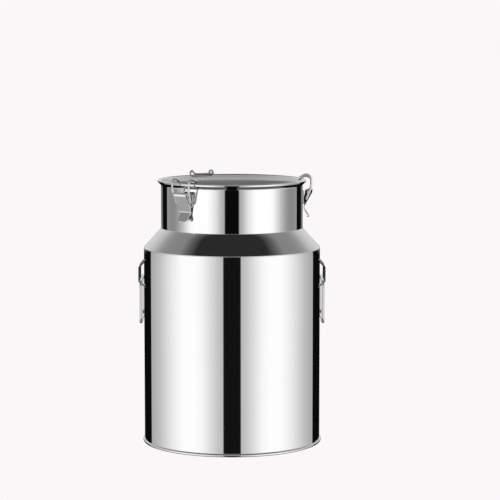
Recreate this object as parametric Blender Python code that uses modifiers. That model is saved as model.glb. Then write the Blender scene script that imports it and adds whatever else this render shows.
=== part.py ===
"""Stainless-steel milk can with three wire toggle latches and two drop-ring handles.

The can stands on z = 0 with its axis on Z, and its front faces -Y.  Sizes are metres.
A bearing is measured from the front (-Y) towards +X.  Each latch and each handle is
drawn at bearing 90 degrees, where +X is outwards, +Y is along the tangent and +Z is
up, and is then turned about the can's axis to its own bearing.  A pair such as
(0.1087, 0.3566) is a distance from the can's axis and a height.
"""
import bmesh
import bpy
import math
from mathutils import Matrix, Vector

# ---- Driving dimensions -----------------------------------------------------
BODY_R = 0.1250            # outer radius of the barrel
NECK_R = 0.1004            # outer radius of the neck
RIM_R = 0.1051             # outer radius of the rolled lip of the mouth
FOOT_R = 0.1271            # outer radius of the foot ring
SHEET = 0.0015             # wall of the barrel, shoulder, neck and bottom
FOOT_H = 0.0042            # height of the foot ring
FOOT_W = 0.0034            # how far the foot ring reaches in from the barrel's face
FOOT_EDGE = 0.0004         # bevel on the foot ring's inner edge
BARREL_TOP = 0.2768        # weld between the barrel and the shoulder
SKIRT_H = 0.0006           # upright edge at the foot of the shoulder's cone
NECK_BASE = 0.3056         # weld between the shoulder and the neck
FLARE_Z = 0.3667           # where the neck starts to open out
RIM_Z = 0.3743             # top of the rolled lip
LIP_R = 0.0018             # radius of the rolled lip's section
FLARE_STEP = 0.0006        # how far the bend at the foot of the flare stands out and down
FLARE_RISE = 0.0012        # height over which it bends
BOTTOM_Z = 0.0100          # top face of the bottom plate
BOTTOM_BEND = 0.0040       # outer bend radius of the bottom plate
GAP = 0.0003               # air between two pieces that touch
STEPS = 72                 # facets round the can

LATCH_BEARINGS = {"front": -39.0, "right": 88.0, "rear": 205.0}
LEVER_AXIS = (0.1087, 0.3566)      # rivet that the lever turns on
BAIL_AXIS = (0.1054, 0.3466)       # eyes in the lever that hold the wire bail's ends
LEVER_TOP = (0.1118, 0.3616)       # the lever's outer face, from its top edge ...
LEVER_CREASE = (0.1152, 0.3590)    # ... over its outermost crease ...
LEVER_BEND = (0.1024, 0.3352)      # ... down to the bend above the finger lip ...
LEVER_LIP = (0.1094, 0.3218)       # ... and out to the lip's edge
LEVER_SHEET = 0.0010
LEVER_HALF = 0.0105        # half the lever's width
LIP_HALF = 0.0088          # half the finger lip's width
LIP_TUCK = 0.0008          # how far the lip runs into the bend above it
FLANGE_INSET = (0.0003, 0.0004)    # the flanges' corners behind the lever's top edge ...
FLANGE_CREASE = 0.0005     # ... behind its crease ...
FLANGE_FOOT = (0.0001, 0.0012)     # ... and above its bend
FLANGE_BACK = ((0.1027, 0.3440), (0.1036, 0.3584))     # the flanges' rear edge
FLANGE_SHY = 0.00002       # keeps a flange's side off the lever's side
EAR_SHEET = 0.0015         # sheet of the latch bracket
EAR_T = 0.0080             # from the latch's middle to the middle of an ear
EAR_BOSS_R = 0.0026        # round end of an ear
EAR_ROUND = (-28.0, 153.0)         # the stretch of that round end, in degrees
EAR_ROOT = (0.0160, 0.0070)        # how far below the rivet an ear meets the back plate
PLATE_HALF = 0.0120        # half the width of the bracket's back plate
PLATE_BELOW = 0.0168       # how far the back plate reaches below the rivet
PLATE_ABOVE = 0.0020       # and above it
PIVOT_R = 0.0015           # radius of the rivet
HOLE_R = 0.0017            # radius of the holes for the rivet and the bail's ends
RIVET_HEAD_R = 0.0024
RIVET_HEAD_H = 0.0008
RIVET_SLACK = 0.0002       # air between a rivet head and the lever
RIVET_FLAT = 0.7           # flat middle of a rivet head, as a share of its radius
RIVET_CROWN = 0.0003       # height of the slope round that flat
BAIL_WIRE_R = 0.00145
BAIL_END_T = 0.0091        # where the bail's turned-in ends stop
BAIL_FOOT_T = 0.0127       # half the bail's width at its ends
BAIL_HOOK_T = 0.0154       # half the bail's width at its hook
BAIL_KNEE = (0.1122, 0.3640)       # where a leg turns upright
BAIL_CROWN = (0.1124, 0.3852)      # corner of the hook before it is rounded
BAIL_TIP = (0.0954, 0.3755)        # the hook's cross bar
BAIL_SPREAD = 0.6          # share of the bail's widening that is done at its knee
BAIL_BENDS = (0.0, 0.0022, 0.0100, 0.0072, 0.0030)     # bend radii, from end to cross bar

HANDLE_BEARINGS = {"left": -90.0, "right": 90.0}
RING_AXIS = (0.1280, 0.2329)       # the handle ring's hinge bar
RING_WIRE_R = 0.0019
RING_W = 0.0920            # overall width of the handle ring
RING_H = 0.0613            # overall height of the handle ring
RING_CORNER = 0.0080       # bend radius of its corners, on the wire's centre
STRAP_HALF = 0.0270        # half the width of the strap that holds the ring
STRAP_REACH = 0.0080       # how far the strap is drawn into the barrel before it is cut
STRAP_SHEET = 0.0018
STRAP_OUT = 0.1321         # the strap's outer face
STRAP_LOW, STRAP_HIGH = 0.2254, 0.2594     # where its legs meet the barrel
STRAP_FACE = (0.2306, 0.2514)              # height of its flat outer face

STEEL = {                  # colour and roughness
    "polished": ((0.80, 0.80, 0.80, 1.0), 0.05),
    "inside": ((0.72, 0.72, 0.72, 1.0), 0.20),
    "pressed": ((0.74, 0.74, 0.74, 1.0), 0.15),
    "wire": ((0.76, 0.76, 0.76, 1.0), 0.10),
}


# ---- Scene and materials ----------------------------------------------------
def clear_scene():
    """Remove every object of the open scene."""
    for old in list(bpy.data.objects):
        bpy.data.objects.remove(old, do_unlink=True)


def collection(name):
    """Make a collection and link it to the scene."""
    made = bpy.data.collections.new(name)
    bpy.context.scene.collection.children.link(made)
    return made


def steel(name, kind):
    """Make a stainless-steel material of one of the kinds in STEEL."""
    colour, roughness = STEEL[kind]
    made = bpy.data.materials.new(name)
    made.use_nodes = True
    shader = made.node_tree.nodes["Principled BSDF"]
    shader.inputs["Base Color"].default_value = colour
    shader.inputs["Metallic"].default_value = 1.0
    shader.inputs["Roughness"].default_value = roughness
    return made


def smooth(made):
    """Shade a mesh smooth, keeping the edges sharper than 35 degrees."""
    made.data.shade_smooth()
    made.data.set_sharp_from_angle(angle=math.radians(35.0))


# ---- Plane outlines and paths -----------------------------------------------
def arc(centre, radius, start, end, count):
    """Points of a plane arc from start to end, in degrees, both ends included."""
    points = []
    for step in range(count + 1):
        angle = math.radians(start + (end - start) * step / count)
        points.append((centre[0] + radius * math.cos(angle),
                       centre[1] + radius * math.sin(angle)))
    return points


def strip(points, thickness):
    """Outline of a bent sheet: the points on its outer face, then its inner face.

    The inner face lies to the right of the way the points run.
    """
    track = [Vector(point) for point in points]
    normals = []
    for here, there in zip(track, track[1:]):
        along = (there - here).normalized()
        normals.append(Vector((along.y, -along.x)))
    inner = []
    for index, point in enumerate(track):
        before = normals[max(index - 1, 0)]
        after = normals[min(index, len(normals) - 1)]
        middle = (before + after).normalized()
        inner.append(point + middle * (thickness / middle.dot(after)))
    return [tuple(point) for point in track + inner[::-1]]


def rounded(corners, radii, count, cyclic):
    """Replace the corners of a 3-D path by arcs; an open path keeps its two ends."""
    path = []
    total = len(corners)
    for index, corner in enumerate(corners):
        here = Vector(corner)
        if not cyclic and index in (0, total - 1):
            path.append(here)
            continue
        before = (Vector(corners[index - 1]) - here).normalized()
        after = (Vector(corners[(index + 1) % total]) - here).normalized()
        half = before.angle(after) / 2.0
        centre = here + (before + after).normalized() * (radii[index] / math.sin(half))
        start = here + before * (radii[index] / math.tan(half)) - centre
        spin = after.cross(before).normalized()
        for step in range(count + 1):
            sweep = (math.pi - 2.0 * half) * step / count
            path.append(centre + Matrix.Rotation(sweep, 3, spin) @ start)
    return path


# ---- Ways of making a solid -------------------------------------------------
def turned(name, profile, closed, kind, steps=STEPS):
    """Turn a (radius, height) profile about Z; it runs down its outer side."""
    mesh = bpy.data.meshes.new(name)
    count = len(profile)
    edges = [(index, index + 1) for index in range(count - 1)]
    if closed:
        edges.append((count - 1, 0))
    mesh.from_pydata([(radius, 0.0, height) for radius, height in profile], edges, [])
    mesh.materials.append(steel(name + "_steel", kind))
    made = bpy.data.objects.new(name, mesh)
    CAN.objects.link(made)
    screw = made.modifiers.new("Turn", "SCREW")
    screw.steps = steps
    screw.render_steps = steps
    screw.use_merge_vertices = True
    screw.merge_threshold = 0.00001
    smooth(made)
    return made


def wire(name, points, radius, cyclic):
    """Sweep a round wire along points, with 8 sides and filled ends."""
    curve = bpy.data.curves.new(name, "CURVE")
    curve.dimensions = "3D"
    curve.bevel_depth = radius
    curve.bevel_resolution = 2
    curve.use_fill_caps = True
    spline = curve.splines.new("POLY")
    spline.points.add(len(points) - 1)
    spline.use_cyclic_u = cyclic
    for point, position in zip(spline.points, points):
        point.co = (*position, 1.0)
    curve.materials.append(steel(name + "_steel", "wire"))
    made = bpy.data.objects.new(name, curve)
    CAN.objects.link(made)
    return made


def extruded(name, outline, half, to_world, holes=()):
    """Extrude a plane outline, less its round holes, by half its thickness each way.

    to_world carries the outline's plane to its place.  The result is a closed mesh.
    """
    curve = bpy.data.curves.new(name, "CURVE")
    curve.dimensions = "2D"
    curve.fill_mode = "BOTH"
    curve.extrude = half
    for points in [outline] + [arc(centre, HOLE_R, 0.0, 345.0, 23) for centre in holes]:
        spline = curve.splines.new("POLY")
        spline.points.add(len(points) - 1)
        spline.use_cyclic_u = True
        for point, (across, up) in zip(spline.points, points):
            point.co = (across, up, 0.0, 1.0)
    flat = bpy.data.objects.new(name + "_outline", curve)
    TOOLS.objects.link(flat)
    bpy.context.view_layer.update()
    seen = flat.evaluated_get(bpy.context.evaluated_depsgraph_get())
    mesh = bpy.data.meshes.new_from_object(seen)
    bpy.data.objects.remove(flat)
    welded = bmesh.new()
    welded.from_mesh(mesh)
    bmesh.ops.remove_doubles(welded, verts=welded.verts, dist=0.000001)
    bmesh.ops.transform(welded, matrix=to_world, verts=welded.verts)
    bmesh.ops.recalc_face_normals(welded, faces=welded.faces)
    welded.to_mesh(mesh)
    welded.free()
    return bpy.data.objects.new(name, mesh)


def upright(middle):
    """Matrix that stands a (radius, height) outline up, at a tangent distance."""
    return Matrix.Translation((0.0, middle, 0.0)) @ Matrix.Rotation(math.pi / 2.0, 4, "X")


def shaped(base, tools, operation, kind):
    """Join tools to a base piece, or cut them out of it, with live Booleans."""
    base.data.materials.append(steel(base.name + "_steel", kind))
    CAN.objects.link(base)
    for tool in tools:
        TOOLS.objects.link(tool)
        tool.hide_render = True
        tool.display_type = "WIRE"
        step = base.modifiers.new(tool.name, "BOOLEAN")
        step.operation = operation
        step.solver = "EXACT"
        step.object = tool
    smooth(base)


def seat(pieces, pivot, bearing):
    """Put the pieces' origin on their pivot and turn them to their bearing."""
    offset = Matrix.Translation((pivot[0], 0.0, pivot[1]))
    turn = Matrix.Rotation(math.radians(bearing - 90.0), 4, "Z")
    for piece in pieces:
        piece.data.transform(offset.inverted())
        piece.matrix_world = turn @ offset


# ---- The can ----------------------------------------------------------------
def build_foot_ring():
    """Rolled ring that the can stands on, welded under the barrel."""
    half = FOOT_H / 2.0
    inner = BODY_R - FOOT_W
    profile = [(BODY_R, FOOT_H)]
    profile += arc((FOOT_R - half, half), half, 60.0, -90.0, 10)
    profile += [(inner + FOOT_EDGE, 0.0), (inner, FOOT_EDGE), (inner, FOOT_H)]
    turned("foot_ring", profile, True, "polished")


def build_bottom_plate():
    """Pressed bottom with a turned-down skirt, welded inside the barrel's lower end."""
    skirt = BODY_R - SHEET - GAP
    foot = FOOT_H + GAP
    bend = (skirt - BOTTOM_BEND, BOTTOM_Z - BOTTOM_BEND)
    profile = [(0.0, BOTTOM_Z)]
    profile += arc(bend, BOTTOM_BEND, 90.0, 0.0, 5)
    profile += [(skirt, foot), (skirt - SHEET, foot)]
    profile += arc(bend, BOTTOM_BEND - SHEET, 0.0, 90.0, 4)
    profile += [(0.0, BOTTOM_Z - SHEET)]
    turned("bottom_plate", profile, False, "inside")


def build_barrel():
    """Rolled and seam-welded cylinder."""
    low = FOOT_H + GAP
    inner = BODY_R - SHEET
    profile = [(BODY_R, BARREL_TOP), (BODY_R, low), (inner, low), (inner, BARREL_TOP)]
    turned("barrel", profile, True, "polished")


def build_shoulder():
    """Pressed cone between the barrel and the neck, with a short skirt at its foot."""
    low = BARREL_TOP + GAP
    slope = math.atan2(NECK_BASE - low - SKIRT_H, BODY_R - NECK_R)
    inner_drop = SHEET / math.cos(slope) - SHEET * math.tan(slope)
    profile = [(NECK_R, NECK_BASE), (BODY_R, low + SKIRT_H), (BODY_R, low),
               (BODY_R - SHEET, low), (NECK_R - SHEET, NECK_BASE - inner_drop),
               (NECK_R - SHEET, NECK_BASE)]
    turned("shoulder", profile, True, "polished")


def build_neck():
    """Cylinder whose top opens out and ends in a rolled lip."""
    low = NECK_BASE + GAP
    inner = NECK_R - SHEET
    lip = (RIM_R - LIP_R, RIM_Z - LIP_R)
    profile = arc(lip, LIP_R, 90.0, -45.0, 6)
    bend = FLARE_Z + FLARE_RISE
    profile += [(NECK_R + FLARE_STEP, bend), (NECK_R, FLARE_Z - FLARE_STEP),
                (NECK_R, low), (inner, low), (inner, FLARE_Z),
                (inner + FLARE_STEP, bend + FLARE_STEP), (lip[0] - LIP_R, lip[1])]
    turned("neck", profile, True, "polished")


# ---- One latch --------------------------------------------------------------
def build_latch_bracket(place, bearing):
    """Back plate curved to the neck, with two ears that hold the rivet."""
    back = NECK_R + GAP
    front = back + EAR_SHEET
    low, high = LEVER_AXIS[1] - PLATE_BELOW, LEVER_AXIS[1] + PLATE_ABOVE
    spread = math.degrees(math.asin(PLATE_HALF / front))
    outline = arc((0.0, 0.0), front, -spread, spread, 8)
    outline += arc((0.0, 0.0), back, spread, -spread, 8)
    name = "latch_bracket_" + place
    lift = Matrix.Translation((0.0, 0.0, (low + high) / 2.0))
    plate = extruded(name, outline, (high - low) / 2.0, lift)
    root = front - EAR_SHEET / 2.0
    ear = [(root, LEVER_AXIS[1] - EAR_ROOT[0])]
    ear += arc(LEVER_AXIS, EAR_BOSS_R, EAR_ROUND[0], EAR_ROUND[1], 12)
    ear += [(root, LEVER_AXIS[1] - EAR_ROOT[1])]
    ears = []
    for side in (-1.0, 1.0):
        stand = upright(side * EAR_T)
        ears.append(extruded(name + "_ear", ear, EAR_SHEET / 2.0, stand, [LEVER_AXIS]))
    shaped(plate, ears, "UNION", "pressed")
    seat([plate] + ears, LEVER_AXIS, bearing)


def build_lever(place, bearing):
    """Bent sheet lever: outer face, two side flanges and a finger lip at its end."""
    name = "latch_lever_" + place
    face = strip([LEVER_TOP, LEVER_CREASE, LEVER_BEND], LEVER_SHEET)
    base = extruded(name, face, LEVER_HALF, upright(0.0))
    outward = (Vector(LEVER_LIP) - Vector(LEVER_BEND)).normalized()
    tuck = Vector(LEVER_BEND) - LIP_TUCK * outward
    lip = strip([tuple(tuck), LEVER_LIP], LEVER_SHEET)
    tools = [extruded(name + "_lip", lip, LIP_HALF, upright(0.0))]
    flange = [(LEVER_TOP[0] - FLANGE_INSET[0], LEVER_TOP[1] - FLANGE_INSET[1]),
              (LEVER_CREASE[0] - FLANGE_CREASE, LEVER_CREASE[1]),
              (LEVER_BEND[0] + FLANGE_FOOT[0], LEVER_BEND[1] + FLANGE_FOOT[1])]
    flange += FLANGE_BACK
    for side in (-1.0, 1.0):
        middle = side * (LEVER_HALF - LEVER_SHEET / 2.0)
        tools.append(extruded(name + "_flange", flange, LEVER_SHEET / 2.0 - FLANGE_SHY,
                              upright(middle), [LEVER_AXIS, BAIL_AXIS]))
    shaped(base, tools, "UNION", "pressed")
    seat([base] + tools, LEVER_AXIS, bearing)


def build_rivet(place, bearing):
    """Headed rivet through the ears and the lever's flanges."""
    head = LEVER_HALF + RIVET_SLACK
    end = head + RIVET_HEAD_H
    flat = RIVET_HEAD_R * RIVET_FLAT
    profile = [(0.0, end), (flat, end), (RIVET_HEAD_R, end - RIVET_CROWN),
               (RIVET_HEAD_R, head), (PIVOT_R, head), (PIVOT_R, -head), (RIVET_HEAD_R, -head),
               (RIVET_HEAD_R, RIVET_CROWN - end), (flat, -end), (0.0, -end)]
    rivet = turned("latch_rivet_" + place, profile, False, "pressed", 24)
    turn = Matrix.Rotation(math.radians(bearing - 90.0), 4, "Z")
    spot = Matrix.Translation((LEVER_AXIS[0], 0.0, LEVER_AXIS[1]))
    rivet.matrix_world = turn @ spot @ Matrix.Rotation(math.pi / 2.0, 4, "X")


def build_bail(place, bearing):
    """Wire bail: eyes in the lever, two legs and a hook that reaches over the rim."""
    knee = BAIL_FOOT_T + BAIL_SPREAD * (BAIL_HOOK_T - BAIL_FOOT_T)
    half = [(BAIL_AXIS[0], BAIL_END_T, BAIL_AXIS[1]),
            (BAIL_AXIS[0], BAIL_FOOT_T, BAIL_AXIS[1]),
            (BAIL_KNEE[0], knee, BAIL_KNEE[1]),
            (BAIL_CROWN[0], BAIL_HOOK_T, BAIL_CROWN[1]),
            (BAIL_TIP[0], BAIL_HOOK_T, BAIL_TIP[1])]
    other = [(radius, -tangent, height) for radius, tangent, height in reversed(half)]
    path = rounded(half + other, BAIL_BENDS + BAIL_BENDS[::-1], 5, False)
    bail = wire("latch_bail_" + place, path, BAIL_WIRE_R, False)
    seat([bail], BAIL_AXIS, bearing)


# ---- One handle -------------------------------------------------------------
def build_strap(place, bearing):
    """Bridge strap welded to the barrel, whose open channel holds the ring."""
    slope_low = (STRAP_FACE[0] - STRAP_LOW) / (STRAP_OUT - BODY_R)
    slope_high = (STRAP_HIGH - STRAP_FACE[1]) / (STRAP_OUT - BODY_R)
    root = BODY_R - STRAP_REACH
    outer = [(root, STRAP_HIGH + STRAP_REACH * slope_high), (STRAP_OUT, STRAP_FACE[1]),
             (STRAP_OUT, STRAP_FACE[0]), (root, STRAP_LOW - STRAP_REACH * slope_low)]
    name = "handle_bracket_" + place
    band = extruded(name, strip(outer, STRAP_SHEET), STRAP_HALF, upright(0.0))
    barrel = arc((0.0, 0.0), BODY_R + GAP, 0.0, 357.0, 119)
    lift = Matrix.Translation((0.0, 0.0, (STRAP_LOW + STRAP_HIGH) / 2.0))
    cutter = extruded(name + "_barrel", barrel, STRAP_HIGH - STRAP_LOW, lift)
    shaped(band, [cutter], "DIFFERENCE", "pressed")
    seat([band, cutter], (STRAP_OUT, STRAP_LOW), bearing)


def build_ring(place, bearing):
    """Wire ring with rounded corners, hinged on its own top bar in the strap."""
    side = RING_W / 2.0 - RING_WIRE_R
    top = RING_AXIS[1]
    low = top - (RING_H - 2.0 * RING_WIRE_R)
    corners = [(RING_AXIS[0], -side, top), (RING_AXIS[0], side, top),
               (RING_AXIS[0], side, low), (RING_AXIS[0], -side, low)]
    path = rounded(corners, [RING_CORNER] * 4, 6, True)
    ring = wire("handle_ring_" + place, path, RING_WIRE_R, True)
    seat([ring], RING_AXIS, bearing)


clear_scene()
CAN = collection("milk_can")
TOOLS = collection("milk_can_cutters")
build_foot_ring()
build_bottom_plate()
build_barrel()
build_shoulder()
build_neck()
for latch_place, latch_bearing in LATCH_BEARINGS.items():
    build_latch_bracket(latch_place, latch_bearing)
    build_lever(latch_place, latch_bearing)
    build_rivet(latch_place, latch_bearing)
    build_bail(latch_place, latch_bearing)
for handle_place, handle_bearing in HANDLE_BEARINGS.items():
    build_strap(handle_place, handle_bearing)
    build_ring(handle_place, handle_bearing)
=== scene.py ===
"""Open milk can of polished stainless steel: five welded shells, three wire toggle
latches round the neck and two drop rings on the barrel.

The can stands on z = 0 with its axis on Z and its front towards -Y.  A bearing is an
angle in degrees from the front towards +X.  Sizes are metres.  A pair such as
(0.1087, 0.3566) is a distance from the can's axis and a height.
"""

import bpy
import numpy as np
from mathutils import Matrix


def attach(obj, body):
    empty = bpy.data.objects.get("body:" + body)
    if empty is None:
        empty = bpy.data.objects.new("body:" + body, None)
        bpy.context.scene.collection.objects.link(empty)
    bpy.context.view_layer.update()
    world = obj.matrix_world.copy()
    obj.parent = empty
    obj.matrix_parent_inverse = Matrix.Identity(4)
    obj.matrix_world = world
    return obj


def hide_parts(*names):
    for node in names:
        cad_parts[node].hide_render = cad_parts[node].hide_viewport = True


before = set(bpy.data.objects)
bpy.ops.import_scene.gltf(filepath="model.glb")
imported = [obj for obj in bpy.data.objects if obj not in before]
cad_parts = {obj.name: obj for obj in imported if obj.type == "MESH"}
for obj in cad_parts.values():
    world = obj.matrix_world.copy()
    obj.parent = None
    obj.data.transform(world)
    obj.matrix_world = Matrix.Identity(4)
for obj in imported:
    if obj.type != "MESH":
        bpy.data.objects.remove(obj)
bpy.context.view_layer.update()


# ---- Foot ring -----------------------------------------------------------------------
# A half-round bead rolled from heavier stainless strip and welded under the barrel.  The
# can stands on its flat underside.  Its outside is mirror polished with the barrel.
def bent_line(corners, radii, closed=False):
    """Straight runs joined by arcs.

    An arc is its centre plus the radius times the spherical blend of the directions
    from that centre to the two places where the arc touches its runs.  One more point
    on each run, just off the arc, keeps the run flat under smooth shading.
    """
    corners = np.asarray(corners, float)
    radii = np.asarray(radii, float)
    ahead = np.roll(corners, -1, axis=0) - corners
    run = np.linalg.norm(ahead, axis=1)
    ahead = ahead / run[:, None]
    back = -np.roll(ahead, 1, axis=0)
    half = np.arccos(np.clip((back * ahead).sum(axis=1), -1.0, 1.0)) / 2.0
    half = np.maximum(half, 0.001)
    reach = radii / np.tan(half)
    spare = 0.3 * (run - reach - np.roll(reach, -1))
    parts = []
    for index in range(len(corners)):
        here, radius = corners[index], radii[index]
        if radius == 0.0:
            parts.append(here[None])
            continue
        middle = back[index] + ahead[index]
        centre = here + middle / np.linalg.norm(middle) * radius / np.sin(half[index])
        first = (here + back[index] * reach[index] - centre) / radius
        last = (here + ahead[index] * reach[index] - centre) / radius
        sweep = np.pi - 2.0 * half[index]
        share = np.linspace(0.0, 1.0, int(np.ceil(sweep / 0.16)) + 2)[:, None]
        blend = np.sin((1.0 - share) * sweep) * first + np.sin(share * sweep) * last
        off = reach[index] + np.minimum(0.4 * radius, [spare[index - 1], spare[index]])
        parts.append((here + back[index] * off[0])[None])
        parts.append(centre + radius * blend / np.sin(sweep))
        parts.append((here + ahead[index] * off[1])[None])
    return np.concatenate(parts)


def turned(profile, bearings):
    """A (radius, height) profile carried round the axis.

    x is the radius times the sine of the bearing, and y is minus the radius times its
    cosine.
    """
    turn = np.radians(bearings)[None, :]
    radius, height = profile[:, :1], profile[:, 1:2]
    return np.stack([radius * np.sin(turn), -radius * np.cos(turn), height + 0.0 * turn], axis=2)


def skin(grid, rows_meet=False, columns_meet=True, poles=(), finish=None, toward=None):
    """Faces over a grid of points, with their distances along and across it as a UV map.

    Rows or columns that meet are closed into a loop, and a pole is an end row drawn
    together into one point.  A closed skin whose volume comes out negative is turned
    the right way out, and an open sheet is turned to face the direction given.  finish
    is the material number of each row of faces.
    """
    ids = np.arange(grid.shape[0] * grid.shape[1]).reshape(grid.shape[:2])
    for end in poles:
        ids[end] = ids[end, 0]
    points = grid.reshape(-1, 3)
    if rows_meet:
        ids, grid = np.vstack([ids, ids[:1]]), np.concatenate([grid, grid[:1]])
    if columns_meet:
        ids, grid = np.hstack([ids, ids[:, :1]]), np.concatenate([grid, grid[:, :1]], axis=1)
    along = np.linalg.norm(np.diff(grid, axis=0), axis=2).mean(axis=1)
    across = np.linalg.norm(np.diff(grid, axis=1), axis=2).mean(axis=0)
    along, across = np.append(0.0, along.cumsum()), np.append(0.0, across.cumsum())
    flat = np.stack(np.meshgrid(along, across, indexing="ij"), axis=2)

    def corners(values):
        """The values at the four corners of every face."""
        return np.stack([values[:-1, :-1], values[1:, :-1], values[1:, 1:], values[:-1, 1:]], axis=2)

    quads, places, uv = corners(ids), corners(grid), corners(flat)
    a, b, c, d = [places[:, :, corner] for corner in range(4)]
    if toward is None:
        outward = (a * np.cross(b, c)).sum() + (a * np.cross(c, d)).sum()
    else:
        outward = (np.cross(c - a, d - b) @ toward).sum()
    if outward < 0.0:
        quads, uv = quads[:, :, ::-1], uv[:, :, ::-1]
    if finish is None:
        finish = np.zeros(len(quads), int)
    number = np.repeat(finish, quads.shape[1])
    return points, quads.reshape(-1, 4), uv.reshape(-1, 4, 2), number


def formed(name, skins, finishes):
    """One piece from its skins: a smooth mesh with its UV map and its materials."""
    first = np.cumsum([0] + [len(points) for points, _, _, _ in skins])
    points = np.concatenate([part[0] for part in skins])
    quads = np.concatenate([part[1] + start for part, start in zip(skins, first)])
    uv = np.concatenate([part[2] for part in skins])
    number = np.concatenate([part[3] for part in skins])
    used, order = np.unique(quads, return_inverse=True)
    points, quads = points[used], order.reshape(-1, 4)
    same = quads == np.roll(quads, -1, axis=1)
    whole, three = ~same.any(axis=1), same.any(axis=1)
    keep = ~same[three]
    wedges, wedge_uv = quads[three][keep].reshape(-1, 3), uv[three][keep].reshape(-1, 2)
    mesh = bpy.data.meshes.new(name)
    mesh.from_pydata(points.tolist(), [], quads[whole].tolist() + wedges.tolist())
    layer = mesh.uv_layers.new(name="Metres")
    layer.data.foreach_set("uv", np.concatenate([uv[whole].reshape(-1, 2), wedge_uv]).ravel())
    numbers = np.concatenate([number[whole], number[three]])
    mesh.polygons.foreach_set("material_index", numbers.astype(np.int32))
    mesh.shade_smooth()
    for finish in finishes:
        mesh.materials.append(finish)
    made = bpy.data.objects.new(name, mesh)
    bpy.context.scene.collection.objects.link(made)
    return made


def steel(name, colour, smoothest, roughest, lines, depth, by_uv=False):
    """Stainless steel with fine lines left by polishing, drawing or brushing.

    lines is how often the line pattern repeats in each metre along X, Y and Z, or along
    and across the piece's UV map, and depth is how deep it cuts.  The lines change the
    roughness between its two limits, and a slow cloudiness dims the colour a little.
    """
    made = bpy.data.materials.new(name)
    made.use_nodes = True
    nodes, links = made.node_tree.nodes, made.node_tree.links
    shader = nodes["Principled BSDF"]
    shader.inputs["Metallic"].default_value = 1.0
    place = nodes.new("ShaderNodeTexCoord")
    stretch = nodes.new("ShaderNodeMapping")
    stretch.inputs["Scale"].default_value = lines
    links.new(place.outputs["UV" if by_uv else "Object"], stretch.inputs["Vector"])
    grain = nodes.new("ShaderNodeTexNoise")
    grain.inputs["Scale"].default_value = 1.0
    grain.inputs["Detail"].default_value = 3.0
    links.new(stretch.outputs["Vector"], grain.inputs["Vector"])
    rough = nodes.new("ShaderNodeMapRange")
    rough.inputs["From Min"].default_value = 0.3
    rough.inputs["From Max"].default_value = 0.7
    rough.inputs["To Min"].default_value = smoothest
    rough.inputs["To Max"].default_value = roughest
    links.new(grain.outputs["Fac"], rough.inputs["Value"])
    links.new(rough.outputs["Result"], shader.inputs["Roughness"])
    cloud = nodes.new("ShaderNodeTexNoise")
    cloud.inputs["Scale"].default_value = 16.0
    cloud.inputs["Detail"].default_value = 2.0
    links.new(place.outputs["Object"], cloud.inputs["Vector"])
    tone = nodes.new("ShaderNodeMix")
    tone.data_type = "RGBA"
    tone.inputs["A"].default_value = (colour[0] * 0.97, colour[1] * 0.97, colour[2] * 0.97, 1.0)
    tone.inputs["B"].default_value = (*colour, 1.0)
    links.new(cloud.outputs["Fac"], tone.inputs["Factor"])
    links.new(tone.outputs["Result"], shader.inputs["Base Color"])
    relief = nodes.new("ShaderNodeBump")
    relief.inputs["Strength"].default_value = 0.5
    relief.inputs["Distance"].default_value = depth
    links.new(grain.outputs["Fac"], relief.inputs["Height"])
    links.new(relief.outputs["Normal"], shader.inputs["Normal"])
    return made


BODY_R = 0.1250            # outer radius of the barrel
SHEET = 0.0015             # wall of the barrel, shoulder, neck and bottom
FOOT_R = 0.1271
FOOT_H = 0.0042
FOOT_IN = 0.1216           # inner radius of the foot ring
ROUND = np.arange(288) * 1.25      # bearings of the slices round every turned piece
CLOSED = True

FOOT_ROUND = (0.0017, 0.0020, 0.0005, 0.0005)      # its four corners, from the outer top one

polished_steel = steel("polished_steel", (0.80, 0.80, 0.80), 0.025, 0.045, (5.0, 5.0, 900.0), 0.0000006)
welded_steel = steel("welded_steel", (0.70, 0.68, 0.65), 0.14, 0.24, (300.0, 300.0, 900.0), 0.000004)

foot_profile = bent_line([(FOOT_R, FOOT_H), (FOOT_R, 0.0), (FOOT_IN, 0.0), (FOOT_IN, FOOT_H)],
                         FOOT_ROUND, CLOSED)
foot_skin = skin(turned(foot_profile, ROUND), rows_meet=True)
foot_ring = formed("rolled_foot_ring", [foot_skin], [polished_steel])
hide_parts("foot_ring")
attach(foot_ring, "can")


# ---- Bottom plate --------------------------------------------------------------------
# A pressed disc whose edge is turned down and welded inside the barrel, just clear of the
# floor.  It keeps the satin finish of the sheet, spun in circles about its middle.
PLATE_R = 0.1232           # outside of its skirt
PLATE_Z = 0.0100           # top face
PLATE_FOOT = 0.0045        # lower edge of the skirt
DISH = 0.0004              # how far the middle is pressed down
DISH_R, DISH_EDGE = 0.060, 0.066           # where that slope starts and ends
DISH_BEND = 0.010
PLATE_BEND = 0.0040        # outer bend of the turned-down skirt ...
PLATE_BEND_IN = 0.0025     # ... and its inner one
PLATE_CUT = 0.0006         # rounding of the skirt's cut edge

satin_steel = steel("satin_steel", (0.72, 0.72, 0.72), 0.24, 0.34, (14.0, 14.0, 1500.0), 0.000008)

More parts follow.
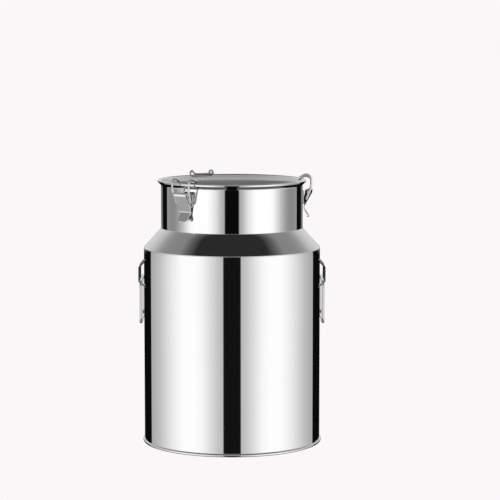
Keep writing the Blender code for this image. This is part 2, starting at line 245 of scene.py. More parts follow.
inside = PLATE_R - SHEET
plate_profile = bent_line([(0.0, PLATE_Z - DISH), (DISH_R, PLATE_Z - DISH), (DISH_EDGE, PLATE_Z),
                           (PLATE_R, PLATE_Z), (PLATE_R, PLATE_FOOT), (inside, PLATE_FOOT),
                           (inside, PLATE_Z - SHEET), (DISH_EDGE, PLATE_Z - SHEET),
                           (DISH_R, PLATE_Z - DISH - SHEET), (0.0, PLATE_Z - DISH - SHEET)],
                          [0.0, DISH_BEND, DISH_BEND, PLATE_BEND, PLATE_CUT, PLATE_CUT, PLATE_BEND_IN,
                           DISH_BEND, DISH_BEND, 0.0])
plate_skin = skin(turned(plate_profile, ROUND), poles=(0, -1))
bottom_plate = formed("pressed_bottom", [plate_skin], [satin_steel])
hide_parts("bottom_plate")
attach(bottom_plate, "can")


# ---- Barrel --------------------------------------------------------------------------
# Sheet rolled into a cylinder and closed by one upright weld at the back, which is ground
# and polished until only a faint ridge is left.  Outside mirror, inside satin.
BARREL_LOW = 0.0045
BARREL_TOP = 0.2768
FLUSH = 0.00015            # rounding of an edge that is welded and ground flush
SEAM = 174.0               # bearing of the upright weld
SEAM_WIDTH = 0.45          # half its width, in degrees
SEAM_RISE = 0.00006        # how far the ridge stands proud


def two_faced(profile, outer):
    """Material number of each row of a closed profile: 0 outside and 1 inside.

    A row is outside while the line between its points stays at or beyond the radius
    given.
    """
    radius = profile[:, 0]
    return np.where(np.minimum(radius, np.roll(radius, -1)) >= outer, 0, 1)


near_seam = SEAM + np.linspace(-1.4, 1.4, 29)
slices = np.concatenate([ROUND[np.abs(ROUND - SEAM) > 1.6], near_seam])
slices.sort()
barrel_profile = bent_line([(BODY_R, BARREL_TOP), (BODY_R, BARREL_LOW),
                            (BODY_R - SHEET, BARREL_LOW), (BODY_R - SHEET, BARREL_TOP)],
                           [FLUSH, FLUSH, FLUSH, FLUSH], CLOSED)
barrel_grid = turned(barrel_profile, slices)
# The ridge is a bell curve of the bearing, added along the radius.
ridge = SEAM_RISE * np.exp(-((slices - SEAM) / SEAM_WIDTH) ** 2)
outward = turned(np.array([[1.0, 0.0]]), slices)
barrel_grid = barrel_grid + outward * ridge[None, :, None]
barrel_skin = skin(barrel_grid, rows_meet=True, finish=two_faced(barrel_profile, BODY_R - FLUSH))
barrel = formed("rolled_barrel", [barrel_skin], [polished_steel, satin_steel])
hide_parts("barrel")
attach(barrel, "can")


# ---- Shoulder ------------------------------------------------------------------------
# A cone pressed from one disc, with a short upright skirt at its foot that meets the
# barrel.  Both joints are welded, ground flush and polished over.
SHOULDER_LOW = 0.2771
SHOULDER_FOLD = 0.2777     # where the skirt turns into the cone
NECK_R = 0.1004
NECK_BASE = 0.3056
INNER_FOLD = 0.2776
INNER_TOP = 0.3050
CONE_HOLLOW = 0.0009       # how far the cone sinks below a straight line
CONE_FOLD = 0.0005         # rounding of the fold at its foot
CONE_TOP_IN = 0.0002       # and of its inner upper edge
WELD_RISE = 0.0001
WELD_HALF = 0.00028
WELD_SUNK = 0.00012        # how far the edge of a weld lies below the surface


def divided(line, longest):
    """The same closed line with its long runs divided into equal steps."""
    ahead = np.roll(line, -1, axis=0) - line
    steps = np.maximum(1, np.ceil(np.linalg.norm(ahead, axis=1) / longest).astype(int))
    start = np.repeat(np.arange(len(line)), steps)
    share = (np.arange(len(start)) - np.repeat(np.cumsum(steps) - steps, steps)) / steps[start]
    return line[start] + ahead[start] * share[:, None]


def bead(radius, height, half_width, rise):
    """A weld run round the can: a flat arch of the given rise, closed behind.

    The arch is the rise times the cosine of the place across it.
    """
    across = np.linspace(-1.0, 1.0, 9)
    arch = radius + rise * np.cos(across * np.pi / 2.0)
    face = np.stack([arch, height - across * half_width], axis=1)
    behind = np.array([[radius - 0.0006, height - half_width], [radius - 0.0006, height + half_width]])
    return turned(np.concatenate([face, behind]), ROUND)


shoulder_profile = bent_line([(NECK_R, NECK_BASE), (BODY_R, SHOULDER_FOLD), (BODY_R, SHOULDER_LOW),
                              (BODY_R - SHEET, SHOULDER_LOW), (BODY_R - SHEET, INNER_FOLD),
                              (NECK_R - SHEET, INNER_TOP), (NECK_R - SHEET, NECK_BASE)],
                             [FLUSH, CONE_FOLD, FLUSH, FLUSH, FLUSH, CONE_TOP_IN, CONE_TOP_IN], CLOSED)
shoulder_profile = divided(shoulder_profile, 0.0012)
slant = np.hypot(BODY_R - NECK_R, NECK_BASE - SHOULDER_FOLD)
downhill = np.array([BODY_R - NECK_R, SHOULDER_FOLD - NECK_BASE]) / slant
uphill_side = np.array([-downhill[1], downhill[0]])
# The press leaves the cone slightly hollow: it sinks by a bell that rises quickly from the
# neck and dies out evenly towards the fold.
gone = np.clip((shoulder_profile - (NECK_R, NECK_BASE)) @ downhill / slant, 0.0, 1.0)
sink = CONE_HOLLOW * (1.0 - gone) * (1.0 - np.exp(-gone / 0.25))
shoulder_profile = shoulder_profile - uphill_side * sink[:, None]
facing = (shoulder_profile - (NECK_R, NECK_BASE)) @ uphill_side + sink
outer_row = np.minimum(facing, np.roll(facing, -1)) > -0.0006
shoulder = formed("pressed_shoulder", [skin(turned(shoulder_profile, ROUND), rows_meet=True,
                                            finish=np.where(outer_row, 0, 1))],
                  [polished_steel, satin_steel])
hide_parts("shoulder")
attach(shoulder, "can")

weld_places = [(BODY_R, (BARREL_TOP + SHOULDER_LOW) / 2.0),
               (NECK_R, NECK_BASE + FLUSH),
               (BODY_R, (FOOT_H + BARREL_LOW) / 2.0)]
weld_skins = [skin(bead(radius - WELD_SUNK, height, WELD_HALF, WELD_RISE), rows_meet=True)
              for radius, height in weld_places]
welds = formed("polished_welds", weld_skins, [welded_steel])
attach(welds, "can")


# ---- Neck ----------------------------------------------------------------------------
# A short cylinder whose top is spun outwards and rolled over into the bead that the lid's
# gasket sits on.  Outside mirror, inside satin.
NECK_LOW = 0.3059
FLARE_Z = 0.3667           # where it starts to open out
RIM_R = 0.1051
RIM_Z = 0.3743
LIP_IN = 0.1012            # inner edge of the lip's crest
LIP_FOOT = 0.3709          # where the lip's front meets the flare
NECK_BENDS = (0.0020, 0.0017, 0.0009, 0.0016, FLUSH, FLUSH, 0.0080)

neck_in = NECK_R - SHEET
neck_profile = bent_line([(LIP_IN, RIM_Z), (RIM_R, RIM_Z), (RIM_R, LIP_FOOT), (NECK_R, FLARE_Z),
                          (NECK_R, NECK_LOW), (neck_in, NECK_LOW), (neck_in, FLARE_Z + 0.0004)],
                         NECK_BENDS, CLOSED)
crown = (neck_profile[:, 1] > FLARE_Z + 0.004) | (neck_profile[:, 0] > NECK_R - FLUSH)
neck = formed("rolled_neck", [skin(turned(neck_profile, ROUND), rows_meet=True,
                                   finish=np.where(crown & np.roll(crown, -1), 0, 1))],
              [polished_steel, satin_steel])
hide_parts("neck")
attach(neck, "can")


# ---- Latch brackets ------------------------------------------------------------------
# Three brackets pressed from 1.5 mm sheet are spot-welded round the neck, about a third
# of the way round from each other.  A back plate is rolled to the neck, and two ears stand
# out of it for the rivet.
LATCHES = {"front": -39.0, "right": 88.0, "rear": 205.0}
LEVER_AXIS = (0.1087, 0.3566)      # the rivet
PLATE_BACK = 0.1007        # inner radius of the back plate
PLATE_HALF = 0.0120
PLATE_HEIGHTS = (0.3398, 0.3586)
EAR_SHEET = 0.0015
EAR_T = 0.0080             # from the latch's middle to the middle of an ear
EAR_ROOT = 0.1012          # where an ear starts, inside the back plate
EAR_LOW, EAR_HIGH = 0.3406, 0.3496         # its heights there
EAR_KNEE = 0.3551          # where its lower edge turns upright
EAR_REACH = 0.0026         # how far it goes beyond the rivet, outwards and up
EAR_BACK = 0.0028          # and inwards
EAR_BENDS = (0.0, 0.0030, 0.0024, 0.0020, 0.0)
PLATE_ROUND = (0.0035, 0.0035, 0.0015, 0.0015)     # corners of the back plate, from below
HOLE_R = 0.00165

pressed_steel = steel("pressed_steel", (0.76, 0.76, 0.76), 0.05, 0.10, (260.0, 260.0, 260.0), 0.000003)


def resampled(line, count, closed=True):
    """The same line with its points evenly spaced."""
    if closed:
        line = np.vstack([line, line[:1]])
    gone = np.append(0.0, np.linalg.norm(np.diff(line, axis=0), axis=1).cumsum())
    wanted = np.linspace(0.0, gone[-1], count, endpoint=not closed)
    return np.stack([np.interp(wanted, gone, line[:, axis]) for axis in range(line.shape[1])], axis=1)


def flat_plate(outline, thickness, edge, middle, hole=0.0):
    """A plate with rounded edges, as points (across, up, height above its mid-plane).

    The rows leave the middle, or the hole's rim, cross the front face to the outline,
    go round its edge as a half circle drawn out by the thickness, and come back over
    the rear face.  A hole's wall closes the loop; without one both ends are poles.
    """
    along = np.roll(outline, -1, axis=0) - np.roll(outline, 1, axis=0)
    out = np.stack([along[:, 1], -along[:, 0]], axis=1)
    out /= np.linalg.norm(out, axis=1)[:, None]
    if (out * (outline - middle)).sum() < 0.0:
        out = -out
    spoke = outline - middle
    spoke /= np.linalg.norm(spoke, axis=1)[:, None]
    turn = np.append(np.linspace(0.0, np.pi / 2.0, 5), np.linspace(np.pi / 2.0, np.pi, 5))
    side = np.repeat([1.0, -1.0], 5)
    lift = side * (thickness / 2.0 - edge) + edge * np.cos(turn)

    def at_height(points, height):
        """One row: plane points at one height."""
        return np.column_stack([points, np.full(len(outline), height)])

    rim = [at_height(outline - out * edge * (1.0 - np.sin(angle)), height)
           for angle, height in zip(turn, lift)]
    start = middle + spoke * (hole + edge if hole else 0.0)
    inset = outline - out * edge * 1.8
    front = [at_height(start + (inset - start) * share, thickness / 2.0)
             for share in np.linspace(0.0, 1.0, 5)]
    rear = [row * (1.0, 1.0, -1.0) for row in front[::-1]]
    wall = []
    if hole:
        wall = [at_height(middle + spoke * (hole + edge * (1.0 - np.sin(angle))), height)
                for angle, height in zip(turn[::-1], lift[::-1])][1:-1]
    return np.array(front + rim + rear + wall)


def set_round(points, bearing):
    """Points drawn at bearing 90 (outwards, along the tangent, up), turned to their bearing."""
    turn = np.radians(bearing - 90.0)
    x, y, z = points[..., 0], points[..., 1], points[..., 2]
    return np.stack([x * np.cos(turn) - y * np.sin(turn), x * np.sin(turn) + y * np.cos(turn), z], axis=-1)


def rolled_plate(bearing):
    """The back plate, bent so that distance across it becomes an angle round the neck."""
    low, high = PLATE_HEIGHTS
    corners = [(-PLATE_HALF, low), (PLATE_HALF, low), (PLATE_HALF, high), (-PLATE_HALF, high)]
    outline = resampled(bent_line(corners, PLATE_ROUND, CLOSED), 112)
    plate = flat_plate(outline, EAR_SHEET, 0.0005, np.array([0.0, (low + high) / 2.0]))
    across, up, height = np.moveaxis(plate, 2, 0)
    middle = PLATE_BACK + EAR_SHEET / 2.0
    turn = across / middle
    place = np.stack([(middle + height) * np.cos(turn), (middle + height) * np.sin(turn), up], axis=2)
    return skin(set_round(place, bearing), poles=(0, -1))


def ear(bearing, side):
    """One ear: a tapering tab with a round end, pierced for the rivet."""
    tip_in, tip_out = LEVER_AXIS[0] - EAR_BACK, LEVER_AXIS[0] + EAR_REACH
    tip_up = LEVER_AXIS[1] + EAR_REACH
    corners = [(EAR_ROOT, EAR_LOW), (tip_out, EAR_KNEE), (tip_out, tip_up), (tip_in, tip_up),
               (EAR_ROOT, EAR_HIGH)]
    outline = resampled(bent_line(corners, EAR_BENDS, CLOSED), 96)
    tab = flat_plate(outline, EAR_SHEET, 0.0004, np.array(LEVER_AXIS), HOLE_R)
    across, up, height = np.moveaxis(tab, 2, 0)
    place = np.stack([across, height + side * EAR_T, up], axis=2)
    return skin(set_round(place, bearing), rows_meet=True)


def unmirrored(piece):
    """Keep a piece out of the mirror images on the other pieces."""
    piece.visible_glossy = False


for place, bearing in LATCHES.items():
    bracket = formed("pressed_bracket_" + place,
                     [rolled_plate(bearing), ear(bearing, -1.0), ear(bearing, 1.0)], [pressed_steel])
    if place == "right":
        unmirrored(bracket)
    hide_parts("latch_bracket_" + place)
    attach(bracket, "can")


# ---- Latch levers --------------------------------------------------------------------
# Each lever is pressed from 1 mm sheet: its top is folded over a narrow upright band, its
# sides are folded back as flanges that take the rivet and the wire, and its foot is turned
# out as a finger lip.
LEVER_TOP = (0.1118, 0.3616)
LEVER_CREASE = ((0.1147, 0.3603), (0.1146, 0.3571))        # ends of the upright band
LEVER_BEND = (0.1021, 0.3345)
LEVER_LIP = (0.1094, 0.3225)
LEVER_SHEET = 0.0010
LEVER_HALF = 0.0105
LIP_HALF = 0.0088
LIP_CORNER = 0.0032
FLANGE_TOP = (0.1036, 0.3584)      # rear corners of the flanges
FLANGE_LOW = (0.1025, 0.3410)
LEVER_BENDS = (0.0, 0.0010, 0.0012, 0.0018, 0.0)
FOLD = 0.0010              # outer radius of the folds along its sides
SHALLOW = 0.0006           # depth of the rolled edge where a flange runs out
FLANGE_EASE = 0.0008       # depth over which it runs out
FLANGE_TURN = 0.80         # share of the lever at which a flange's rear edge turns in


def lever_sheet(bearing):
    """The lever's outer face.

    Each row is a U.  Its floor lies on the lever's side view, and its arms point at a
    place that runs down the flanges' rear edge as the row runs down the lever.  The
    folds are quarter circles.  Below the bend the arms shrink to the lip's rolled
    edge, and near its end the lip's half width follows a quarter circle.
    """
    side_view = bent_line([LEVER_TOP, *LEVER_CREASE, LEVER_BEND, LEVER_LIP], LEVER_BENDS)
    line = resampled(side_view, 150, False)
    gone = np.append(0.0, np.linalg.norm(np.diff(line, axis=0), axis=1).cumsum())
    bend = gone[np.argmin(line[:, 0] + 1000.0 * (line[:, 1] < LEVER_BEND[1] - 0.002))]
    share = np.clip(gone / bend, 0.0, 1.0)
    slope = np.gradient(line, gone, axis=0)
    inward = np.stack([slope[:, 1], -slope[:, 0]], axis=1)
    turns = [0.0, FLANGE_TURN, 1.0]
    rear_x = np.interp(share, turns, [FLANGE_TOP[0], FLANGE_LOW[0], LEVER_BEND[0]])
    rear_z = np.interp(share, turns, [FLANGE_TOP[1], FLANGE_LOW[1], LEVER_BEND[1]])
    arm = np.stack([rear_x, rear_z], axis=1) - line
    ease = np.clip((np.linalg.norm(arm, axis=1) - SHALLOW) / FLANGE_EASE, 0.0, 1.0)[:, None]
    ease = np.where(share[:, None] >= 1.0, 0.0, ease)
    arm = arm * ease + inward * SHALLOW * (1.0 - ease)
    deep = np.linalg.norm(arm, axis=1)
    arm /= deep[:, None]
    fold = np.minimum(FOLD, deep)
    left = gone[-1] - gone
    half = np.interp(gone, [bend, bend + 0.004], [LEVER_HALF, LIP_HALF])
    cut = np.maximum(LIP_CORNER - left, 0.0)
    half = half - (LIP_CORNER - np.sqrt(LIP_CORNER ** 2 - cut ** 2))
    turn = np.linspace(0.0, np.pi / 2.0, 6)[None, :]
    down = np.linspace(1.0, 0.08, 6)[None, :]
    deep, fold, half = deep[:, None], fold[:, None], half[:, None]
    arm_y, arm_d = 0.0 * down - half, fold + (deep - fold) * down
    fold_y, fold_d = fold - half - fold * np.cos(turn), fold - fold * np.sin(turn)
    floor_y = (half - fold) * np.array([[-0.93, -0.6, -0.2, 0.2, 0.6, 0.93]])
    across = np.hstack([arm_y, fold_y, floor_y, -fold_y[:, ::-1], -arm_y[:, ::-1]])
    depth = np.hstack([arm_d, fold_d, 0.0 * floor_y, fold_d[:, ::-1], arm_d[:, ::-1]])
    place = np.stack([line[:, :1] + arm[:, :1] * depth, across, line[:, 1:] + arm[:, 1:] * depth], axis=2)
    outwards = set_round(np.array([1.0, 0.0, 0.0]), bearing)
    return skin(set_round(place, bearing), columns_meet=False, toward=outwards)


def thickened(piece, thickness, edge):
    """Give a sheet its thickness on the inside, and ease its cut edges."""
    wall = piece.modifiers.new("Thickness", "SOLIDIFY")
    wall.thickness = thickness
    wall.offset = -1.0
    wall.use_even_offset = True
    ease = piece.modifiers.new("Eased edges", "BEVEL")
    ease.width = edge
    ease.segments = 2
    ease.limit_method = "ANGLE"
    ease.angle_limit = np.radians(50.0)
    ease.harden_normals = True


for place, bearing in LATCHES.items():
    lever = formed("pressed_lever_" + place, [lever_sheet(bearing)], [pressed_steel])
    thickened(lever, LEVER_SHEET, 0.00010)
    if place == "right":
        unmirrored(lever)
    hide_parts("latch_lever_" + place)
    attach(lever, "lever_" + place)


# ---- Lever rivets --------------------------------------------------------------------
# A 3 mm stainless rivet through both ears and both flanges, with a low domed head on each
# side.
RIVET_R = 0.0015
HEAD_R = 0.0024
HEAD_FOOT = 0.0107         # where a head starts, from the latch's middle
HEAD_END = 0.0115


def rivet(bearing):
    """Both heads are quarter ellipses: the radius goes with the sine, the height with the cosine."""
    turn = np.linspace(0.0, np.pi / 2.0, 9)
    radius = HEAD_R * np.sin(turn)
    height = HEAD_FOOT + 0.0001 + (HEAD_END - HEAD_FOOT - 0.0001) * np.cos(turn)
    half = np.vstack([np.stack([radius, height], axis=1),
                      [(HEAD_R, HEAD_FOOT), (RIVET_R + 0.0002, HEAD_FOOT), (RIVET_R, HEAD_FOOT - 0.0002)]])
    profile = np.vstack([half, half[::-1] * (1.0, -1.0)])
    across, up, height = np.moveaxis(turned(profile, np.arange(32) * 11.25), 2, 0)
    place = np.stack([LEVER_AXIS[0] + across, height, LEVER_AXIS[1] + up], axis=2)
    return skin(set_round(place, bearing), poles=(0, -1))


for place, bearing in LATCHES.items():
    pin = formed("domed_rivet_" + place, [rivet(bearing)], [pressed_steel])
    if place == "right":
        unmirrored(pin)
    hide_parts("latch_rivet_" + place)
    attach(pin, "can")


# ---- Wire bails ----------------------------------------------------------------------
# Bright drawn wire, bent by hand over a former: its ends turn in through the lever's
# flanges, its legs spread upwards, and its hook reaches over the lid onto the rim.
BAIL_WIRE = 0.00142
BAIL_AXIS = (0.1054, 0.3466)
BAIL_END_T = 0.0091
BAIL_FOOT_T = 0.0127
BAIL_HOOK_T = 0.0154
BAIL_KNEE = (0.1122, 0.3640)
BAIL_CROWN = (0.1124, 0.38505)
BAIL_TIP = (0.0954, 0.3755)
BAIL_SPREAD = 0.6          # share of the bail's widening that is done at its knee

drawn_wire = steel("drawn_wire", (0.78, 0.78, 0.78), 0.03, 0.07, (40.0, 2200.0, 1.0), 0.0000008, by_uv=True)


def wire(path, radii, closed, level, sides=20):
    """A round wire: circles of the given radii carried along a path.

    A circle's first direction is the level vector less its share along the path, and
    its second is square to both.  An open wire ends in two smaller circles.
    """
    if closed:
        along = np.roll(path, -1, axis=0) - np.roll(path, 1, axis=0)
    else:
        along = np.gradient(path, axis=0)
    along /= np.linalg.norm(along, axis=1)[:, None]
    if not closed:
        ends = np.array([path[0], path[0], path[-1], path[-1]])
        step = radii[0] * 0.35
        path = np.vstack([ends[:2], path[0] + along[0] * step, path[1:-1],
                          path[-1] - along[-1] * step, ends[2:]])
        along = np.vstack([along[:1], along[:1], along, along[-1:], along[-1:]])
        radii = np.concatenate([[0.0, radii[0] * 0.7], radii, [radii[-1] * 0.7, 0.0]])
    first = level - (along @ level)[:, None] * along
    first /= np.linalg.norm(first, axis=1)[:, None]
    second = np.cross(along, first)
    turn = np.linspace(0.0, 2.0 * np.pi, sides, endpoint=False)[None, :, None]
    ring = np.cos(turn) * first[:, None] + np.sin(turn) * second[:, None]
    grid = path[:, None] + ring * np.asarray(radii)[:, None, None]
    return skin(grid, rows_meet=closed, poles=() if closed else (0, -1))


knee_t = BAIL_FOOT_T + BAIL_SPREAD * (BAIL_HOOK_T - BAIL_FOOT_T)
bail_half = np.array([(BAIL_AXIS[0], BAIL_END_T, BAIL_AXIS[1]), (BAIL_AXIS[0], BAIL_FOOT_T, BAIL_AXIS[1]),
                      (BAIL_KNEE[0], knee_t, BAIL_KNEE[1]), (BAIL_CROWN[0], BAIL_HOOK_T, BAIL_CROWN[1]),
                      (BAIL_TIP[0], BAIL_HOOK_T, BAIL_TIP[1])])
bail_bends = [0.0, 0.0022, 0.0100, 0.0072, 0.0030]         # from an end to the cross bar
bail_corners = np.vstack([bail_half, bail_half[::-1] * (1.0, -1.0, 1.0)])
bail_path = bent_line(bail_corners, bail_bends + bail_bends[::-1])
# This direction is never along the bail: it lies outside the turn that the hook makes.
bail_level = np.array([np.cos(np.radians(51.0)), 0.0, np.sin(np.radians(51.0))])
for place, bearing in LATCHES.items():
    bail = formed("wire_bail_" + place,
                  [wire(set_round(bail_path, bearing), np.full(len(bail_path), BAIL_WIRE), False,
                        set_round(bail_level, bearing))], [drawn_wire])
    if place == "right":
        unmirrored(bail)
    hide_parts("latch_bail_" + place)
    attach(bail, "bail_" + place)


# ---- Handle brackets -----------------------------------------------------------------
# A bridge strap bent from 1.8 mm sheet and fillet-welded to the barrel along both feet.
# Its open channel holds the handle ring.
HANDLES = {"left": -90.0, "right": 90.0}
STRAP_HALF = 0.0270
STRAP_SHEET = 0.0018
STRAP_OUT = 0.1321
STRAP_LOW, STRAP_HIGH = 0.2254, 0.2594     # where its feet meet the barrel
STRAP_FACE = (0.2306, 0.2514)
STRAP_BEND = 0.0022
STRAP_CLEAR = 0.0003       # root gap that the fillet weld fills
FILLET_R = 0.0009
FILLET_SWELL = 0.07        # how much a weld swells with each pass of the torch

low_slope = (STRAP_FACE[0] - STRAP_LOW) / (STRAP_OUT - BODY_R)
high_slope = (STRAP_HIGH - STRAP_FACE[1]) / (STRAP_OUT - BODY_R)


def strap_sheet(bearing):
    """The strap's outer face: one bent line carried across, whose two ends are slid down
    their slopes to the root of the length that the round barrel asks for there."""
    across = np.linspace(-STRAP_HALF, STRAP_HALF, 41)
    root = np.sqrt((BODY_R + STRAP_CLEAR) ** 2 - across ** 2)
    bent = bent_line([(BODY_R, STRAP_HIGH), (STRAP_OUT, STRAP_FACE[1]), (STRAP_OUT, STRAP_FACE[0]),
                      (BODY_R, STRAP_LOW)], [0.0, STRAP_BEND, STRAP_BEND, 0.0])
    line = bent[:, :, None] + 0.0 * across
    line[0] = [root, STRAP_FACE[1] + high_slope * (STRAP_OUT - root)]
    line[-1] = [root, STRAP_FACE[0] - low_slope * (STRAP_OUT - root)]
    place = np.stack([line[:, 0], across + 0.0 * line[:, 0], line[:, 1]], axis=2)
    return skin(set_round(place, bearing), columns_meet=False,
                toward=set_round(np.array([1.0, 0.0, 0.0]), bearing))


def fillet_weld(bearing, height, slope):
    """A weld bead along one foot: a wire on the barrel whose radius swells and thins with
    each pass of the torch, and tapers away at its ends."""
    across = np.linspace(-STRAP_HALF + 0.0006, STRAP_HALF - 0.0006, 161)
    root = np.sqrt(BODY_R ** 2 - across ** 2)
    path = np.stack([root, across, height + slope * (BODY_R - root)], axis=1)
    radii = FILLET_R * (1.0 + FILLET_SWELL * np.sin(across / 0.00021))
    return wire(set_round(path, bearing), radii, False, np.array([0.0, 0.0, 1.0]), 12)


for place, bearing in HANDLES.items():
    strap = formed("bent_strap_" + place, [strap_sheet(bearing)], [pressed_steel])
    thickened(strap, STRAP_SHEET, 0.00012)
    unmirrored(strap)
    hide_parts("handle_bracket_" + place)
    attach(strap, "can")
    foot_welds = formed("strap_welds_" + place,
                        [fillet_weld(bearing, STRAP_HIGH, high_slope),
                         fillet_weld(bearing, STRAP_LOW, -low_slope)], [welded_steel])
    unmirrored(foot_welds)
    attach(foot_welds, "can")


# ---- Handle rings --------------------------------------------------------------------
# 3.8 mm bright wire bent into a rectangle with round corners and butt-welded in its top
# bar, where the strap hides it.
RING_AXIS = (0.1280, 0.2329)
RING_WIRE = 0.0019
RING_W = 0.0920
RING_H = 0.0613
RING_CORNER = 0.0080
RING_WELD = 0.00016        # how far the butt weld swells

ring_side = RING_W / 2.0 - RING_WIRE
ring_low = RING_AXIS[1] - (RING_H - 2.0 * RING_WIRE)
ring_path = bent_line([(RING_AXIS[0], -ring_side, RING_AXIS[1]), (RING_AXIS[0], ring_side, RING_AXIS[1]),
                       (RING_AXIS[0], ring_side, ring_low), (RING_AXIS[0], -ring_side, ring_low)],
                      [RING_CORNER] * 4, CLOSED)
weld_at = np.linspace(-0.004, 0.004, 17)
top_bar = np.stack([0.0 * weld_at + RING_AXIS[0], weld_at, 0.0 * weld_at + RING_AXIS[1]], axis=1)
ring_path = np.vstack([top_bar, np.roll(ring_path, -np.argmax(ring_path[:, 1] > 0.0), axis=0)])
for place, bearing in HANDLES.items():
    # The swelling is a bell curve of the distance from the weld.
    swell = np.exp(-(ring_path[:, 1] / 0.0011) ** 2) * (ring_path[:, 2] > RING_AXIS[1] - 0.001)
    ring = formed("handle_wire_" + place,
                  [wire(set_round(ring_path, bearing), RING_WIRE + RING_WELD * swell, True,
                        set_round(np.array([1.0, 0.0, 0.0]), bearing))], [drawn_wire])
    unmirrored(ring)
    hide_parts("handle_ring_" + place)
    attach(ring, "ring_" + place)


# ---- Studio --------------------------------------------------------------------------
# A pale floor under soft light.  The walls of the studio are white cloth that is
# brightest well to either side, with a black curtain behind and a narrow black flag in
# front; the ceiling is dark and gets lighter towards the walls.  The cloth is dimmer near
# the floor, and light that has met the steel more than once finds one band there darker.
PALE = (0.965, 0.930, 0.939, 1.0)
STRAIGHT_DOWN = (0.56, 0.56, 0.56, 1.0)    # the floor right under the can


def ramp(tree, source, steps):
    """A run of grey steps, given as (place, brightness), that a value picks from."""
    made = tree.nodes.new("ShaderNodeValToRGB")
    made.color_ramp.interpolation = "LINEAR"
    stops = made.color_ramp.elements
    while len(stops) < len(steps):
        stops.new(0.5)
    for stop, (place, grey) in zip(stops, steps):
        stop.position = place
        stop.color = (grey, grey, grey, 1.0)
    tree.links.new(source, made.inputs["Fac"])
    return made.outputs["Color"]


def worked_out(tree, operation, first, second):
    """The result of an operation on two values, each a number or a socket."""
    made = tree.nodes.new("ShaderNodeMath")
    made.operation = operation
    for socket, value in zip(made.inputs, (first, second)):
        if isinstance(value, (int, float)):
            socket.default_value = value
        else:
            tree.links.new(value, socket)
    return made.outputs["Value"]


def mixed(tree, factor, first, second):
    """A colour between two others."""
    made = tree.nodes.new("ShaderNodeMix")
    made.data_type = "RGBA"
    tree.links.new(factor, made.inputs["Factor"])
    for socket, value in (("A", first), ("B", second)):
        if isinstance(value, tuple):
            made.inputs[socket].default_value = value
        else:
            tree.links.new(value, made.inputs[socket])
    return made.outputs["Result"]


def between(tree, value, low, high):
    """0 below one limit and 1 above the other."""
    made = tree.nodes.new("ShaderNodeMapRange")
    tree.links.new(value, made.inputs["Value"])
    made.inputs["From Min"].default_value = low
    made.inputs["From Max"].default_value = high
    return made.outputs["Result"]


def spread(steps, whole):
    """Steps given in degrees, as shares of the whole range and divided by what steel reflects."""
    return [(degrees / whole, grey / 0.80) for degrees, grey in steps]


world = bpy.data.worlds.new("studio")
bpy.context.scene.world = world
world.use_nodes = True
tree = world.node_tree
look = tree.nodes.new("ShaderNodeTexCoord")
split = tree.nodes.new("ShaderNodeSeparateXYZ")
tree.links.new(look.outputs["Generated"], split.inputs["Vector"])
ahead = worked_out(tree, "MULTIPLY", split.outputs["Y"], -1.0)
side = worked_out(tree, "ABSOLUTE", split.outputs["X"], 0.0)
# Where a ray leaves the studio: as a share of half a turn round it, and in degrees above level.
heading = worked_out(tree, "DIVIDE", worked_out(tree, "ARCTAN2", side, ahead), float(np.pi))
climb = worked_out(tree, "ARCSINE", split.outputs["Z"], 0.0)
rise = worked_out(tree, "MULTIPLY", climb, float(180.0 / np.pi))

low_wall = ramp(tree, heading, spread([
    (0.0, 0.006), (10.9, 0.006), (11.9, 0.50), (18.0, 0.56), (22.0, 0.63), (31.0, 0.78), (39.0, 0.925),
    (47.0, 0.985), (53.0, 1.0), (66.0, 1.0), (75.0, 0.92), (85.0, 0.82), (97.0, 0.67), (109.0, 0.53),
    (124.0, 0.42), (131.4, 0.40), (132.0, 0.003), (180.0, 0.003)], 180.0))
# How much of the low walls' light is left, from level down to the floor.
drop = worked_out(tree, "DIVIDE", rise, -90.0)
dimmed = ramp(tree, drop, [(0.0, 1.0), (30.0 / 90.0, 1.0), (50.0 / 90.0, 0.40), (1.0, 0.40)])
twice_dimmed = ramp(tree, drop, [(place / 90.0, share) for place, share in [
    (0.0, 1.0), (12.5, 1.0), (17.0, 0.14), (32.0, 0.14), (40.0, 0.40), (90.0, 0.40)]])
path = tree.nodes.new("ShaderNodeLightPath")
shade = mixed(tree, between(tree, path.outputs["Ray Depth"], 2.2, 2.8), dimmed, twice_dimmed)
shading = tree.nodes.new("ShaderNodeMix")
shading.data_type = "RGBA"
shading.blend_type = "MULTIPLY"
shading.inputs["Factor"].default_value = 1.0
tree.links.new(low_wall, shading.inputs["A"])
tree.links.new(shade, shading.inputs["B"])
shaded = shading.outputs["Result"]
middle_wall = ramp(tree, heading, spread([
    (0.0, 0.003), (10.9, 0.003), (12.2, 0.40), (16.0, 0.45), (21.0, 0.60), (26.0, 0.77), (36.0, 0.965),
    (41.0, 1.01), (64.0, 1.01), (69.0, 0.97), (75.0, 0.82), (81.0, 0.66), (88.0, 0.485), (95.0, 0.37),
    (102.0, 0.28), (110.0, 0.25), (119.0, 0.25), (129.8, 0.31), (130.6, 0.003), (151.0, 0.003),
    (155.0, 0.155), (180.0, 0.155)], 180.0))
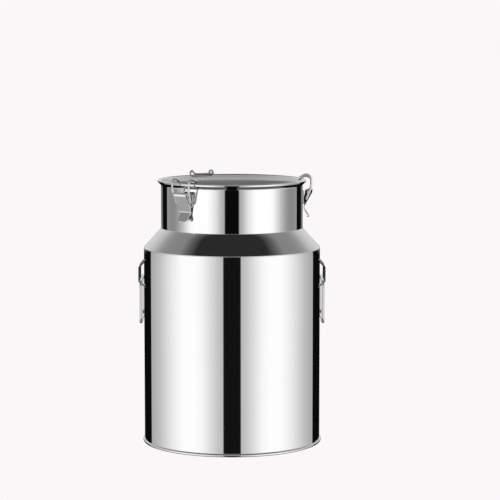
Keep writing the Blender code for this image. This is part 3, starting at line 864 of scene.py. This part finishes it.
ceiling = ramp(tree, worked_out(tree, "DIVIDE", rise, 90.0), spread([
    (0.0, 0.59), (6.0, 0.59), (16.0, 0.56), (25.0, 0.47), (30.0, 0.35), (35.0, 0.27), (40.0, 0.24),
    (51.0, 0.22), (57.0, 0.107), (63.0, 0.023), (90.0, 0.023)], 90.0))
below = mixed(tree, between(tree, rise, -84.0, -80.0), STRAIGHT_DOWN, shaded)
around = mixed(tree, between(tree, rise, -6.35, -6.15), below, middle_wall)
whole = mixed(tree, between(tree, rise, -0.5, 0.5), around, ceiling)
seen = mixed(tree, path.outputs["Is Camera Ray"], whole, PALE)
tree.links.new(seen, tree.nodes["Background"].inputs["Color"])

floor_mesh = bpy.data.meshes.new("floor")
floor_mesh.from_pydata([(-30.0, -30.0, 0.0), (30.0, -30.0, 0.0), (30.0, 30.0, 0.0), (-30.0, 30.0, 0.0)],
                       [], [(0, 1, 2, 3)])
floor = bpy.data.objects.new("floor", floor_mesh)
bpy.context.scene.collection.objects.link(floor)
floor.visible_glossy = False
floor_paint = bpy.data.materials.new("pale_floor")
floor_paint.use_nodes = True
paint = floor_paint.node_tree.nodes["Principled BSDF"]
paint.inputs["Base Color"].default_value = (0.0, 0.0, 0.0, 1.0)
paint.inputs["Roughness"].default_value = 1.0
paint.inputs["Specular IOR Level"].default_value = 0.0
paint.inputs["Emission Color"].default_value = PALE
paint.inputs["Emission Strength"].default_value = 1.0
floor_mesh.materials.append(floor_paint)

CAMERA_AWAY = 2.895        # from the can's axis
CAMERA_Z = 0.590
CAMERA_DOWN = 6.245        # degrees below level
CAMERA_ASIDE = 0.508       # degrees to the right of the can's axis
lens = bpy.data.cameras.new("camera")
lens.sensor_width = 36.0
lens.lens = 147.5
camera = bpy.data.objects.new("camera", lens)
camera.location = (0.0, -CAMERA_AWAY, CAMERA_Z)
camera.rotation_euler = (np.radians(90.0 - CAMERA_DOWN), 0.0, np.radians(-CAMERA_ASIDE))
bpy.context.scene.collection.objects.link(camera)
bpy.context.scene.camera = camera
bpy.context.scene.view_settings.view_transform = "Standard"
